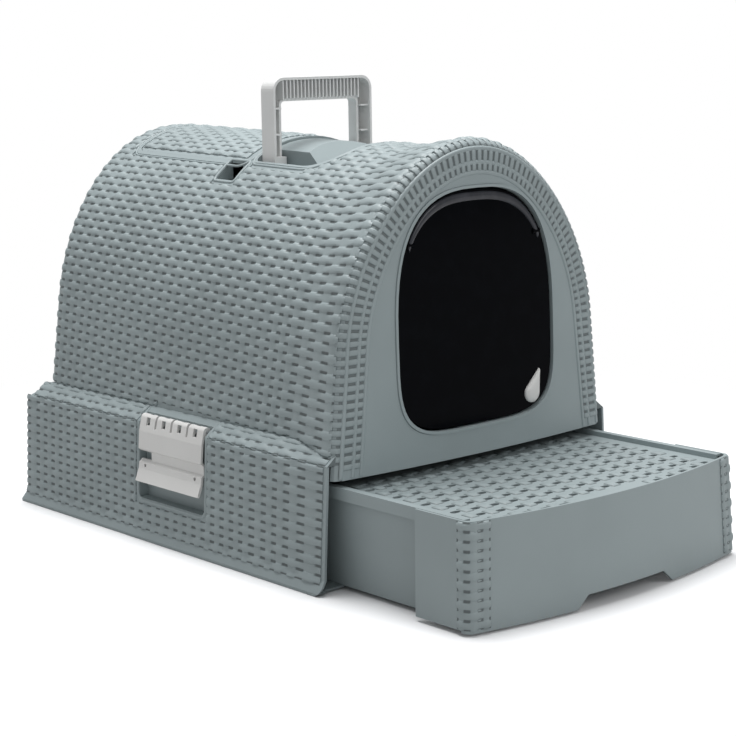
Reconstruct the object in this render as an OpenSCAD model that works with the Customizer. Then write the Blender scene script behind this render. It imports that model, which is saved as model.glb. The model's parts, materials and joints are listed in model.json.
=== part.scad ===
// Hooded litter box: a flared base, a tunnel hood with a swing door, a drawer
// with a step sieve, a folding handle, a lidded compartment and two side clips.
// Frame: X across, Y from the front (-) to the rear (+), Z up, floor at Z = 0.

/* [Housing] */
// Width across the foot flange of the base
housing_w = 385; // [370:1:420]
// Length from the rear flange to the front corners of the base
housing_l = 490; // [480:1:530]
// Height of the hood's crest above the floor
crest_h = 391; // [385:1:410]
// Wall thickness of the base and the hood
wall = 2.5; // [2:0.1:3]

/* [Base] */
// Height of the base's top edge, where the hood sits
base_h = 115; // [112:1:120]
// How far the foot flange flares out past the wall
flange_out = 5.5; // [3:0.5:8]
// Height over which the foot flange flares
flange_h = 14; // [10:1:20]
// How far each wall leans in between the flange and the top edge
wall_draft = 5.5; // [4:0.5:7]
// Height of the floor plate's underside
floor_z = 1; // [0.5:0.1:1.5]
// Thickness of the floor plate
floor_t = 2.2; // [1.8:0.1:2.6]

/* [Hood] */
// Width of the sloping shoulder at the hood's foot
shoulder_w = 16.5; // [14:0.5:18]
// Rise of the sloping shoulder at the hood's foot
shoulder_h = 13; // [10:0.5:16]
// Height where the side walls start to curve over
spring_h = 215; // [200:1:230]
// How far each side wall leans in up to that height
arch_in = 10; // [6:0.5:14]
// Roundness of the arch, 2 for an ellipse and more for a squarer arch
arch_power = 2.15; // [2:0.05:2.4]
// Angle by which the crest falls towards the front, in degrees
roof_tilt = 1.55; // [0.5:0.05:1.8]
// Corner radius of the hood's rear edge
rear_r = 10; // [6:1:14]
// How much wider each side of the hood is at its front edge
flare_w = 9; // [6:0.5:10]
// Length over which the hood widens towards its front edge
flare_l = 60; // [40:5:70]
// Depth of the front edge's crest below the hood's highest point
brow_drop = 2; // [0:0.5:4]
// Width of the woven rim around the front panel
rim_w = 31; // [29:1:36]
// Radius of the rounding along the hood's front edge
brow_r = 9; // [5:0.5:10]
// Height of the front panel's lower edge
face_z = 101; // [99:0.5:104]
// Thickness of the front panel
face_t = 3; // [2.5:0.1:3.5]
// How far the front bows out between its corners
face_bow = 11; // [8:0.5:14]
// Angle by which the front leans back, in degrees
face_lean = 1.6; // [0.5:0.1:2]

/* [Door] */
// Half width of the door opening
door_hw = 100.5; // [95:0.5:104]
// Height of the opening's widest level above the front panel's lower edge
door_mid = 114; // [110:1:120]
// Reach of the opening above its widest level
door_up = 131; // [126:1:134]
// Reach of the opening below its widest level
door_down = 87.5; // [80:0.5:90]
// Height of the hinge above the front panel's lower edge
door_hinge = 199; // [190:1:204]
// Gap between the door and its frame
door_gap = 2; // [1.6:0.1:2.4]
// Thickness of the door panel
door_t = 3; // [2.4:0.2:3.6]
// Radius of the door's hinge pins
door_pin_r = 1.6; // [1.2:0.1:1.8]
// Thickness of the door frame
frame_t = 2.6; // [2.2:0.1:3]

/* [Drawer] */
// How far the drawer stands out of the base
drawer_out = 162; // [150:1:180]
// Height of the drawer's top edge
drawer_h = 95; // [92:0.5:97]
// Set back of the drawer front's foot from the foot flange on each side
front_set = 16.5; // [15.5:0.5:18]
// How much narrower each side of the drawer front is at its top
front_draft = 4; // [2:0.5:5]
// How far the drawer front bows out
drawer_bow = 21; // [16:0.5:24]
// Depth of the drawer front's side returns
return_l = 62; // [50:1:70]
// Wall thickness of the drawer
drawer_t = 2.5; // [2:0.1:3]
// Length of the pan behind the drawer front's corners
pan_l = 466; // [440:1:468]
// Gap under and beside the pan
slide_gap = 0.6; // [0.4:0.1:1]
// Depth of the pan's rolled rim
rim_drop = 11; // [8:1:14]
// Length of the step sieve behind the drawer front's corners
sieve_l = 190; // [170:1:200]
// Depth of the sieve below the drawer's top edge
sieve_drop = 4.5; // [3.5:0.5:6]
// Pitch of the sieve's holes across the drawer
hole_pitch = 20.5; // [19:0.5:24]
// Distance between two rows of sieve holes
hole_row = 17; // [15:0.5:20]
// Height of the hand hold under the drawer front
hold_h = 11; // [9:0.5:13]
// Width of the hand hold at its top
hold_w = 100; // [80:1:120]

/* [Handle] */
// Distance of the handle's pivot behind the front corners
handle_back = 216.5; // [210:0.5:225]
// Height of the handle's pivot below the roof's edge beside the recess
pivot_drop = 3.2; // [3:0.1:5]
// Height of the handle's top above its pivot
handle_h = 85.5; // [82:0.5:88]
// Outer width of the handle
handle_w = 127; // [124:1:129]
// Width of a leg of the handle
leg_w = 14.7; // [13:0.1:16]
// Depth of the handle from front to back
handle_d = 19; // [17:0.5:20]
// Height of the grip
grip_h = 23; // [20:0.5:25]
// Wall thickness of the handle
handle_t = 2.6; // [2.2:0.1:3]
// Outer corner radius of the handle
handle_r = 13; // [10:0.5:15]
// Radius of the handle's pivot pins
handle_pin_r = 3; // [2.5:0.1:3.2]
// Number of ribs in the grip
grip_ribs = 22; // [16:1:24]

/* [Compartment] */
// Length of the storage lid
lid_l = 183; // [170:1:186]
// Width of the storage lid
lid_w = 144; // [138:1:150]
// Corner radius of the storage lid
lid_r = 9; // [6:0.5:12]
// Thickness of the storage lid
lid_t = 2.4; // [2:0.1:3]
// Depth of the compartment below the crest
tub_d = 75; // [68:1:90]
// Width of the frame around the lid
lid_frame = 4; // [3:0.5:4.5]
// Radius of the lid's hinge rod
rod_r = 1.2; // [1:0.1:1.3]

/* [Clips] */
// Distance of the clips' centre behind the front corners
clip_back = 228; // [215:1:250]
// Width of a clip
clip_w = 101; // [98:1:110]
// Number of fingers that wrap round a clip's axle
fingers = 4; // [3:1:5]
// Thickness of a clip
clip_t = 2.5; // [2.2:0.1:2.6]
// Radius of a clip's axle
axle_r = 1.6; // [1.4:0.1:1.7]
// Height of a clip's axle above the base's top edge
axle_up = 4; // [3.5:0.1:4.2]
// Height of a clip below its axle
clip_h = 61; // [58:1:64]

/* [Hidden] */

$fn = 48;
sage = [0.52, 0.58, 0.57];
light_grey = [0.80, 0.80, 0.78];
smoke = [0.05, 0.06, 0.07];
steel = [0.70, 0.71, 0.72];
far = 400;          // longer than any cut needs
seat_gap = 0.3;     // gap between pieces that rest on each other
run_gap = 0.05;     // radial gap of a pin that turns in its bore
body_gap = 0.8;     // gap between bodies that pass each other
fit_gap = 0.2;      // gap round a piece that is set into another
panel_min = 2.5;    // least width of the front panel between the door frame and the rim

// ---- places shared by several pieces ----
front_z = 2;                                // height of the drawer front's foot
hold_share = hold_h / (drawer_h - front_z);
overall_l = housing_l + drawer_out + drawer_bow + front_draft * (1 - hold_share);
rear_y = overall_l / 2;
front_y = rear_y - housing_l;
foot_hw = housing_w / 2;
wall_hw = foot_hw - flange_out;
top_hw = wall_hw - wall_draft;
wall_y = rear_y - flange_out;
top_y = wall_y - wall_draft;
hood_hw = top_hw - shoulder_w;
arch_hw = hood_hw - arch_in;
hood_y = top_y - shoulder_w;
hood_foot_z = base_h + seat_gap;
shoulder_z = base_h + shoulder_h;
floor_top = floor_z + floor_t;
face_mid_y = front_y - face_bow;
bow_r = (foot_hw * foot_hw + face_bow * face_bow) / (2 * face_bow);

// ---- the arch of the hood, in the XZ plane ----
// A section is [half width at the spring line, lean of its sides, height of its crest, roundness]
flare_lean = 0.105;         // lean of the side walls at the hood's front edge
main_section = [arch_hw, arch_in / (spring_h - shoulder_z), crest_h, arch_power];
front_section = [arch_hw + flare_w, flare_lean, crest_h - brow_drop, 2];
arch_steps = 18;

// Half width of a section at height z, grown by g
function arch_x(s, z, g) = z <= spring_h
    ? s[0] + g + s[1] * (spring_h - z)
    : (s[0] + g - s[1] * (z - spring_h))
        * pow(max(0, 1 - pow((z - spring_h) / (s[2] + g - spring_h), s[3])), 1 / s[3]);
// Height of the main section over a given x, found by halving the interval
function arch_z(x, g, lo, hi, i = 0) = i > 24 ? (lo + hi) / 2
    : let (m = (lo + hi) / 2) arch_x(main_section, m, g) > x
        ? arch_z(x, g, m, hi, i + 1) : arch_z(x, g, lo, m, i + 1);
function top_z(x, g = 0) = arch_z(x, g, spring_h, crest_h + g);
// Height of the tilted roof over a given x and y
function roof_z(x, y) = crest_h + (y - hood_y) * tan(roof_tilt) + (top_z(x) - crest_h) / cos(roof_tilt);
function arch_side(s, g, z0) = concat([[arch_x(s, z0, g), z0]],
    [for (i = [0 : arch_steps - 1])
        let (z = spring_h + (s[2] + g - spring_h) * pow(sin(90 * i / arch_steps), 2 / s[3]))
        [arch_x(s, z, g), z]]);
function mirrored(pts) = [for (i = [len(pts) - 1 : -1 : 0]) [-pts[i][0], pts[i][1]]];
function arch_points(s, g, z0) = let (side = arch_side(s, g, z0))
    concat(side, [[0, s[2] + g]], mirrored(side));

// Prism along Y of an outline drawn in the XZ plane
module along_y(y0, y1) {
    translate([0, y1, 0]) rotate([90, 0, 0]) linear_extrude(height = y1 - y0) children();
}

// Prism along X of an outline drawn in the YZ plane
module along_x(x0, x1) {
    translate([x0, 0, 0]) rotate([90, 0, 90]) linear_extrude(height = x1 - x0) children();
}

// Prism along Z of an outline drawn in the XY plane
module upright(z0, z1) {
    translate([0, 0, z0]) linear_extrude(height = z1 - z0) children();
}

// Box between two corners
module block(a, b) {
    translate(a) cube(b - a);
}

// Cylinder along X through a point given by y and z
module rod_x(x0, x1, y, z, r) {
    translate([x0, y, z]) rotate([0, 90, 0]) cylinder(r = r, h = x1 - x0);
}

// Cylinder along Y through a point given by x and z
module rod_y(y0, y1, x, z, r) {
    translate([x, y1, z]) rotate([90, 0, 0]) cylinder(r = r, h = y1 - y0);
}

module both_sides() {
    children();
    mirror([1, 0, 0]) children();
}

// Frame of the roof, which falls towards the front round a line at the rear end of the crest
module on_roof() {
    translate([0, hood_y, crest_h]) rotate([roof_tilt, 0, 0]) translate([0, -hood_y, -crest_h]) children();
}

// The tunnel's solid in the roof's frame, from y0 to y1, grown by g, from height z0 up
module roof_arch(g, y0, y1, z0 = spring_h) {
    along_y(y0, y1) polygon(arch_points(main_section, g, z0));
}

// The tunnel's solid where it stands
module arch(g, y0, y1, z0 = spring_h) {
    on_roof() roof_arch(g, y0, y1, z0);
}

// Rectangle with corner radius ra at its y0 end and rb at its y1 end
function arc(cx, cy, r, a0, a1, n = 8) = [for (i = [0 : n]) let (a = a0 + (a1 - a0) * i / n)
    [cx + r * cos(a), cy + r * sin(a)]];
function soft_rect(hw, y0, y1, ra, rb) = concat(
    arc(hw - ra, y0 + ra, ra, -90, 0), arc(hw - rb, y1 - rb, rb, 0, 90),
    arc(rb - hw, y1 - rb, rb, 90, 180), arc(ra - hw, y0 + ra, ra, 180, 270));

// Local frame of the leaning front: origin at the middle of its lower edge, y into the housing
module on_face() {
    translate([0, face_mid_y, face_z]) rotate([-face_lean, 0, 0]) children();
}

// Everything behind the bowed front surface, grown by g
module behind_face(g) {
    on_face() translate([0, bow_r, -far / 2]) cylinder(r = bow_r + g, h = 2 * far, $fn = 720);
}

// The same, in the front's local frame and as flat strips, over the width of the door frame
module behind_strips(g) {
    translate([0, 0, -far / 2]) linear_extrude(height = 2 * far) polygon(concat(
        [[far / 3, far / 8], [-far / 3, far / 8]],
        [for (x = [-far / 3 : far / 48 : far / 3]) [x, bow_r - sqrt(pow(bow_r + g, 2) - x * x)]]));
}

// ---- the door opening, in the front's local frame ----
door_steps = 16;
door_top_power = 2.8;     // squareness of the opening's upper half
door_low_power = 4.4;     // squareness of its lower half
door_y = 4.2;             // local depth of the door's front face
hinge_y = door_y + door_t / 2;
frame_in = 9;             // local depth of the frame's inner end
frame_out = 1.2;          // height of the frame's bead over the front
boss_r = door_pin_r + 1.6;
boss_l = 9;               // length of a pin boss on the door
boss_in = 3;              // distance of a pin boss from the opening's edge
function signed_pow(v, p) = sign(v) * pow(abs(v), p);
function door_point(a, g) = let (up = sin(a) >= 0, p = up ? door_top_power : door_low_power)
    [(door_hw + g) * signed_pow(cos(a), 2 / p),
     door_mid + ((up ? door_up : door_down) + g) * signed_pow(sin(a), 2 / p)];
function door_outline(g) = [for (i = [0 : 4 * door_steps - 1]) door_point(90 * i / door_steps, g)];
pin_x = door_hw * pow(1 - pow((door_hinge - door_mid) / door_up, door_top_power), 1 / door_top_power);

module door_prism(g, y0, y1) {
    along_y(y0, y1) polygon(door_outline(g));
}

// ---- the drawer ----
drawer_y = front_y - drawer_out;            // line of the drawer front's corners at rest
front_r = 8;                                // corner radius of the drawer front
front_foot_hw = foot_hw - front_set;
front_top_hw = front_foot_hw - front_draft;
pan_z = floor_top + slide_gap;
rim_hw = front_top_hw - drawer_t - body_gap;
rim_out = 4.5;                              // how far the rim stands out from the pan's wall
pan_top_hw = rim_hw - rim_out;
pan_foot_hw = pan_top_hw - 4;
pan_front = drawer_y + 5;
pan_back = drawer_y + pan_l;
sieve_t = 2.2;
sieve_z = drawer_h - sieve_drop - sieve_t;
sieve_hw = pan_top_hw - drawer_t - 0.5;
ledge_w = 3;
ledge_t = 2.2;
ledge_z = sieve_z - seat_gap;
bow_steps = 14;

// Set back of the bowed front at x, from the line of its corners
function bow_at(x, hw) = -drawer_bow * (1 - pow(x / hw, 2));
// Plan of the drawer front, moved inwards by g: its bow, two round corners and two side returns
function front_plan(hw, g) = let (c = hw - g - front_r, yb = bow_at(hw - front_r, hw) + g) concat(
    [for (i = [-bow_steps : bow_steps]) let (x = c * i / bow_steps) [x, bow_at(x, hw) + g]],
    [for (i = [1 : 6]) let (a = -90 + 15 * i) [c + front_r * cos(a), yb + front_r + front_r * sin(a)]],
    [[hw - g, return_l + (g > 0 ? 1 : 0)], [g - hw, return_l + (g > 0 ? 1 : 0)]],
    [for (i = [6 : -1 : 1]) let (a = -90 + 15 * i) [-c - front_r * cos(a), yb + front_r + front_r * sin(a)]]);

module front_slab(hw, g, y, z) {
    translate([0, drawer_y + y, z]) linear_extrude(height = 0.01) polygon(front_plan(hw, g));
}

module front_form(g) {
    hull() {
        front_slab(front_foot_hw, g, -front_draft, front_z - (g > 0 ? 0.5 : 0));
        front_slab(front_top_hw, g, 0, drawer_h + (g > 0 ? 0.5 : -0.01));
    }
}

// ---- places on the top of the hood ----
bed_hw = handle_w / 2 + 6.5;
bed_t = 2.2;
pivot_y = front_y + handle_back;
pivot_z = roof_z(bed_hw + bed_t, pivot_y) - pivot_drop;
foot_r = handle_d / 2;
bed_back = pivot_y + foot_r + 3.5;
bed_front = pivot_y - handle_h - 7;
bed_floor = pivot_z - foot_r - 1.5;
bed_lip = 0.8;
hump_hw = handle_w / 2 - leg_w - 3.2;
hump_t = 2.2;
hump_drop = 1.5;            // depth of the filter cover's top below the roof
hump_low = 5.5;             // further depth of its flat top, where the roof is highest
hump_front = pivot_y - handle_h + grip_h + 4.5;
hump_back = bed_back - 1;
filter_ledge = 5;           // width of the bed's ledge under the filter grille
grille_t = 2;
filter_t = 10;
lid_front = bed_back + bed_t + lid_frame + 4.5;
lid_back = lid_front + lid_l;
lid_hw = lid_w / 2;
lid_gap = 0.7;
hinge_x = lid_hw + 1.2;
hinge_z = top_z(hinge_x) + 0.5;
knuckle_r = 2.6;
knuckle_cut = knuckle_r + 0.5;
knuckle_l = 24;
knuckle_side = 10;          // length of the frame's knuckles beside each one of the lid
notch_l = 28;
notch_w = 20;
notch_y = lid_front - 4.6;
notch_z = top_z(lid_hw + notch_w) - 14;
tub_z = crest_h - tub_d;
tub_t = 2;

// ---- clips, drawn on the +X side ----
clip_y = front_y + clip_back;
axle_z = base_h + axle_up;
axle_x = top_hw - 4.7;
finger_r = 4.4;                 // outer radius of the fingers
bridge_r = 3.2;                 // inner radius of the bridge over a finger's window
window_w = 6;
finger_slot = 3;
fin_w = 1.6;
fin_r = 2.9;
fin_neck = 0.3;                 // height of a fin's neck above the axle
pocket_gap = 2.3;               // gap beside a clip in its pocket
pocket_y0 = clip_y - clip_w / 2 - pocket_gap;
pocket_y1 = clip_y + clip_w / 2 + pocket_gap;
pocket_z = axle_z - clip_h - 18;
pocket_x = top_hw - 7;          // back of the base's pocket
pocket_top = axle_z + finger_r + 1.5;
hood_pocket_x = axle_x - finger_r - 1.5;
bead_drop = 32;                 // depth of the clips' inward bead below the axle
catch_z = axle_z - bead_drop + 1.4;
catch_t = 2.4;                  // height of the ledge that a clip's bead snaps under
catch_reach = 4.2;              // reach of that ledge past the axle
function finger_y(i) = clip_y + clip_w * ((i + 0.5) / fingers - 0.5);

// ---- the base ----
lip_z = 2.5;                    // height of the foot flange's upright edge
toe_r = 10;                     // radius of the base's low front corners
// How far the base's wall stands in from the foot flange at height z
function base_in(z) = z <= lip_z ? 0
    : z <= flange_h ? flange_out * (z - lip_z) / (flange_h - lip_z)
    : flange_out + wall_draft * (z - flange_h) / (base_h - flange_h);
function base_profile(reach, z0, z1) = [for (z = concat([z0], z0 < lip_z && lip_z < z1 ? [lip_z] : [],
    z0 < flange_h && flange_h < z1 ? [flange_h] : [], [z1])) [reach - base_in(z), z]];

// The base's solid, or with an inset the room inside it, open at the front
module base_form(inset, z0, z1) {
    side = base_profile(foot_hw - inset, z0, z1);
    open_y = inset > 0 ? front_y - 10 : front_y;
    low_front = inset > 0 ? [[open_y, z0]] : arc(open_y + toe_r, z0 + toe_r, toe_r, 180, 270);
    intersection() {
        along_y(open_y, rear_y) polygon(concat(side, mirrored(side)));
        along_x(-foot_hw, foot_hw) polygon(concat([[open_y, z1]], low_front,
            base_profile(rear_y - inset, z0, z1)));
    }
}

// The shoulder's solid, or with an inset the room inside it
module shoulder_form(inset, z0, z1) {
    slope = shoulder_w / (shoulder_z - hood_foot_z);
    x0 = top_hw - inset - slope * (z0 - hood_foot_z);
    x1 = top_hw - inset - slope * (z1 - hood_foot_z);
    y0 = top_y - inset - slope * (z0 - hood_foot_z);
    y1 = top_y - inset - slope * (z1 - hood_foot_z);
    open_y = inset > 0 ? front_y - 10 : front_y;
    intersection() {
        along_y(open_y, rear_y) polygon([[x0, z0], [x1, z1], [-x1, z1], [-x0, z0]]);
        along_x(-foot_hw, foot_hw) polygon([[open_y, z0], [y0, z0], [y1, z1], [open_y, z1]]);
    }
}

guide_l = 300;                  // length of the drawer's guide ribs
guide_h = 12;
guide_t = 2.4;
floor_set = 8;                  // set back of the floor plate's front edge

module base_housing() color(sage) {
    difference() {
        union() {
            difference() {
                base_form(0, 0, base_h);
                base_form(wall, floor_top, base_h + 1);
            }
            intersection() {
                base_form(0, 0, base_h);
                both_sides() block([pocket_x - wall, pocket_y0 - wall, pocket_z - wall],
                    [foot_hw, pocket_y1 + wall, base_h]);
            }
            both_sides() block([pan_foot_hw + body_gap, top_y - 40 - guide_l, floor_top - 0.5],
                [pan_foot_hw + body_gap + guide_t, top_y - 40, floor_top + guide_h]);
        }
        base_form(wall + 2, -1, floor_z);
        block([-wall_hw + flange_out, front_y - 1, -1],
            [wall_hw - flange_out, front_y + floor_set, floor_top + 1]);
        both_sides() block([pocket_x, pocket_y0, pocket_z], [foot_hw + 10, pocket_y1, base_h + 1]);
    }
    both_sides() block([pocket_x - 0.5, clip_y - clip_w / 2 + 14, catch_z],
        [axle_x + catch_reach, clip_y + clip_w / 2 - 14, catch_z + catch_t]);
}

apron_l = 4;                    // depth of the hood's legs behind the front corners
skirt = 30;                     // reach of the hood's cut below its foot
hood_rear = hood_y - 3.5;       // rear end of the crest
face_y0 = front_y - 2 * face_bow;
brow_y = front_y - 1.5;         // where the rounding of the hood's front edge starts

// A point of the roof's frame, where it stands
function roof_point(p) = let (y = p[1] - hood_y, z = p[2] - crest_h)
    [p[0], hood_y + y * cos(roof_tilt) - z * sin(roof_tilt), crest_h + y * sin(roof_tilt) + z * cos(roof_tilt)];
function main_ring(g, y) = [for (p = arch_points(main_section, g, hood_foot_z - skirt))
    roof_point([p[0], y, p[1]])];
function front_ring(g, y) = [for (p = arch_points(front_section, g, hood_foot_z - skirt)) [p[0], y, p[1]]];

// The hood's tunnel, grown by g: its straight front edge, its widening, its length and its round rear end
module tunnel(g) {
    rings = [front_ring(g - brow_r, face_y0), front_ring(g - brow_r, brow_y),
        front_ring(g - 0.62 * brow_r, brow_y + 0.08 * brow_r), front_ring(g - 0.29 * brow_r, brow_y + 0.29 * brow_r),
        front_ring(g - 0.08 * brow_r, brow_y + 0.62 * brow_r), front_ring(g, brow_y + brow_r),
        front_ring(g, front_y + flare_l / 5), main_ring(g, front_y + flare_l),
        main_ring(g, hood_rear + g - rear_r), main_ring(g - 0.29 * rear_r, hood_rear + g - 0.29 * rear_r),
        main_ring(g - rear_r, hood_rear + g)];
    n = len(rings[0]);
    last = n * (len(rings) - 1);
    polyhedron(points = [for (ring = rings) each ring], faces = concat(
        [[for (i = [n - 1 : -1 : 0]) i], [for (i = [0 : n - 1]) last + i]],
        [for (k = [0 : len(rings) - 2], i = [0 : n - 1]) let (a = k * n + i, b = k * n + (i + 1) % n) [a, b, b + n]],
        [for (k = [0 : len(rings) - 2], i = [0 : n - 1]) let (a = k * n + i, b = k * n + (i + 1) % n)
            [a, b + n, a + n]]));
}

module hood_form() {
    intersection() {
        behind_face(0);
        union() {
            intersection() {
                tunnel(0);
                union() {
                    block([-foot_hw, face_y0, hood_foot_z], [foot_hw, rear_y, crest_h + 1]);
                    block([-foot_hw, face_y0, face_z], [foot_hw, front_y + apron_l, crest_h]);
                }
            }
            shoulder_form(0, hood_foot_z, shoulder_z);
        }
    }
}

// The opening in the hood's front that the front panel fills, grown by g, from height z0 up
module front_window(g, z0) {
    along_y(face_y0, front_y + 2 * face_bow) polygon(arch_points(front_section, g - rim_w, z0));
    on_face() door_prism(frame_t + panel_min + g, -2 * face_bow, 2 * face_bow);
}

module hood_shell() color(sage) {
    difference() {
        union() {
            difference() {
                hood_form();
                intersection() {
                    behind_face(-face_t);
                    union() {
                        tunnel(-wall);
                        shoulder_form(1.5 * wall, hood_foot_z - 1, shoulder_z);
                    }
                }
            }
            intersection() {
                hood_form();
                both_sides() block([hood_pocket_x - wall, pocket_y0 - wall, hood_foot_z],
                    [foot_hw, pocket_y1 + wall, pocket_top + wall]);
            }
        }
        front_window(0, face_z - 1);
        upright(bed_floor, crest_h + 10) bed_plan(bed_t + fit_gap);
        on_roof() {
            upright(tub_z, crest_h + 10) lid_plan(lid_frame + fit_gap);
            block([-lid_hw - notch_w, notch_y, notch_z], [-lid_hw, notch_y + notch_l, crest_h]);
        }
        both_sides() block([hood_pocket_x, pocket_y0, hood_foot_z - 1], [foot_hw, pocket_y1, pocket_top]);
    }
    both_sides() for (i = [0 : fingers - 1]) difference() {
        union() {
            rod_y(finger_y(i) - fin_w / 2, finger_y(i) + fin_w / 2, axle_x, axle_z, fin_r);
            block([hood_pocket_x - 0.5, finger_y(i) - fin_w / 2, axle_z - fin_r],
                [axle_x, finger_y(i) + fin_w / 2, axle_z + fin_neck]);
        }
        rod_y(finger_y(i) - fin_w, finger_y(i) + fin_w, axle_x, axle_z, axle_r);
    }
}

module front_panel() color(sage) {
    difference() {
        intersection() {
            behind_face(0);
            front_window(-fit_gap, face_z);
        }
        behind_face(-face_t);
        on_face() door_prism(frame_t + fit_gap, -far / 8, far / 8);
        block([-far, face_y0, 0], [far, front_y, face_z]);
    }
}

module door_frame() color(sage) on_face() {
    difference() {
        intersection() {
            behind_strips(frame_out);
            door_prism(frame_t, -2 * face_bow, frame_in);
        }
        door_prism(0, -3 * face_bow, frame_in + 1);
        rod_x(-far / 2, far / 2, hinge_y, door_hinge, door_pin_r + run_gap);
    }
}

module swing_door() color(smoke) {
    on_face() difference() {
        union() {
            door_prism(-door_gap, door_y, door_y + door_t);
            both_sides() rod_x(pin_x - boss_in - boss_l, pin_x - boss_in, hinge_y, door_hinge, boss_r);
        }
        both_sides() rod_x(pin_x - boss_in - boss_l + 1.5, pin_x, hinge_y, door_hinge, door_pin_r);
    }
}

module door_hinge_pins() color(steel) {
    on_face() both_sides()
        rod_x(pin_x - boss_in - boss_l + 1.5, pin_x + frame_t - 0.4, hinge_y, door_hinge, door_pin_r);
}

tab_x = 71;                     // centre of the pull tab's round end
tab_z = 46;
tab_r = 9.5;
tab_tip = [82, 69];
tab_t = 2.2;

module door_pull_tab() color(light_grey) {
    on_face() along_y(door_y - tab_t, door_y)
        polygon(concat(arc(tab_x, tab_z, tab_r, 155, 355, 24), [tab_tip]));
}

module drawer_front() color(sage) {
    difference() {
        front_form(0);
        front_form(drawer_t);
        block([-far, drawer_y + 4, 0], [far, drawer_y + return_l + 5, floor_top + slide_gap]);
        along_y(drawer_y - 2 * drawer_bow, drawer_y + return_l / 2)
            polygon([[-hold_w / 2 - 1.4 * hold_h, 0], [-hold_w / 2, front_z + hold_h],
                [hold_w / 2, front_z + hold_h], [hold_w / 2 + 1.4 * hold_h, 0]]);
    }
    translate([0, drawer_y, ledge_z - ledge_t]) linear_extrude(height = ledge_t) intersection() {
        difference() {
            polygon(front_plan(front_top_hw, drawer_t / 2));
            polygon(front_plan(front_top_hw, drawer_t + ledge_w));
        }
        translate([-far, -far]) square([2 * far, far + 3]);
    }
}

module pan_form(inset, z0, z1) {
    slope = (pan_top_hw - pan_foot_hw) / (drawer_h - pan_z);
    x0 = pan_foot_hw + slope * (z0 - pan_z) - inset;
    x1 = pan_foot_hw + slope * (z1 - pan_z) - inset;
    along_y(pan_front + inset, pan_back - inset) polygon([[-x0, z0], [x0, z0], [x1, z1], [-x1, z1]]);
}

module drawer_pan() color(sage) {
    difference() {
        union() {
            pan_form(0, pan_z, drawer_h);
            block([-rim_hw, pan_front, drawer_h - rim_drop], [rim_hw, pan_back + rim_out, drawer_h]);
        }
        difference() {
            block([-rim_hw + 2, pan_front - 1, drawer_h - rim_drop - 1],
                [rim_hw - 2, pan_back + rim_out - 2, drawer_h - 2]);
            pan_form(0, pan_z - 1, drawer_h + 1);
        }
        pan_form(drawer_t, pan_z + drawer_t, drawer_h + 1);
        block([-rim_hw - 1, pan_front - 1, ledge_z], [rim_hw + 1, pan_front + drawer_t, drawer_h + 1]);
    }
    both_sides() block([pan_top_hw - drawer_t - ledge_w, pan_front + 1, ledge_z - ledge_t],
        [pan_top_hw - 1, drawer_y + sieve_l, ledge_z]);
}

slot_l = 10;                    // length of a sieve hole across the drawer
slot_w = 6;                     // width of a sieve hole
bare_w = 84;                    // width of the bare patch at the sieve's front
bare_l = 30;                    // depth of the bare patch
row_count = floor((sieve_l - 24) / hole_row);
col_count = floor((sieve_hw - 12) / hole_pitch);

module sieve_hole() {
    square([slot_l - slot_w, slot_w], center = true);
    for (s = [-1, 1]) translate([s * (slot_l - slot_w) / 2, 0]) circle(r = slot_w / 2, $fn = 16);
}

module step_sieve() color(sage) {
    translate([0, drawer_y, sieve_z]) linear_extrude(height = sieve_t) difference() {
        polygon(concat([for (i = [-bow_steps : bow_steps]) let (x = sieve_hw * i / bow_steps)
            [x, bow_at(x, front_top_hw) + drawer_t + 0.6]], [[sieve_hw, sieve_l], [-sieve_hw, sieve_l]]));
        for (row = [0 : row_count], col = [-col_count : col_count]) {
            x = hole_pitch * (col + (row % 2 == 0 ? 0 : 0.5));
            y = 14 + hole_row * row + bow_at(x, front_top_hw) * (1 - row / row_count);
            bare = abs(x) < bare_w / 2 && y < bare_l - drawer_bow;
            if (!bare && abs(x) < sieve_hw - 8) translate([x, y]) sieve_hole();
        }
    }
}

module bed_plan(g) {
    polygon(soft_rect(bed_hw + g, bed_front - g, bed_back + g, 34, 6));
}

module handle_bed() color(sage) {
    difference() {
        intersection() {
            upright(bed_floor - bed_t, crest_h + 5) bed_plan(bed_t);
            arch(bed_lip, bed_front - 10, bed_back + 10);
        }
        upright(bed_floor, crest_h + 10) bed_plan(0);
        block([-hump_hw + hump_t + filter_ledge, hump_front + hump_t + filter_ledge, bed_floor - bed_t - 1],
            [hump_hw - hump_t - filter_ledge, hump_back - hump_t - filter_ledge, bed_floor + 1]);
        rod_x(-bed_hw - 5, bed_hw + 5, pivot_y, pivot_z, handle_pin_r);
    }
}

// Outline of the handle in the XZ plane, from its pivot, moved inwards by g
function handle_outer(g) = let (hw = handle_w / 2 - g, r = handle_r - g) concat(
    [[hw, -foot_r - 1]], arc(hw - r, handle_h - g - r, r, 0, 90), arc(r - hw, handle_h - g - r, r, 90, 180),
    [[-hw, -foot_r - 1]]);
window_r = 4;                   // corner radius of the handle's opening
function handle_window(g) = let (hw = handle_w / 2 - leg_w + g, r = window_r + g) concat(
    [[hw, -foot_r - 2]], arc(hw - r, handle_h - grip_h + g - r, r, 0, 90),
    arc(r - hw, handle_h - grip_h + g - r, r, 90, 180), [[-hw, -foot_r - 2]]);
leg_ribs = [30, 55];            // heights of the ribs in the legs above the pivot
rib_t = 1.6;
rib_set = 3;                    // set back of the ribs from the handle's open side
inner_set = 7;                  // set back of the inner flange

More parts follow.
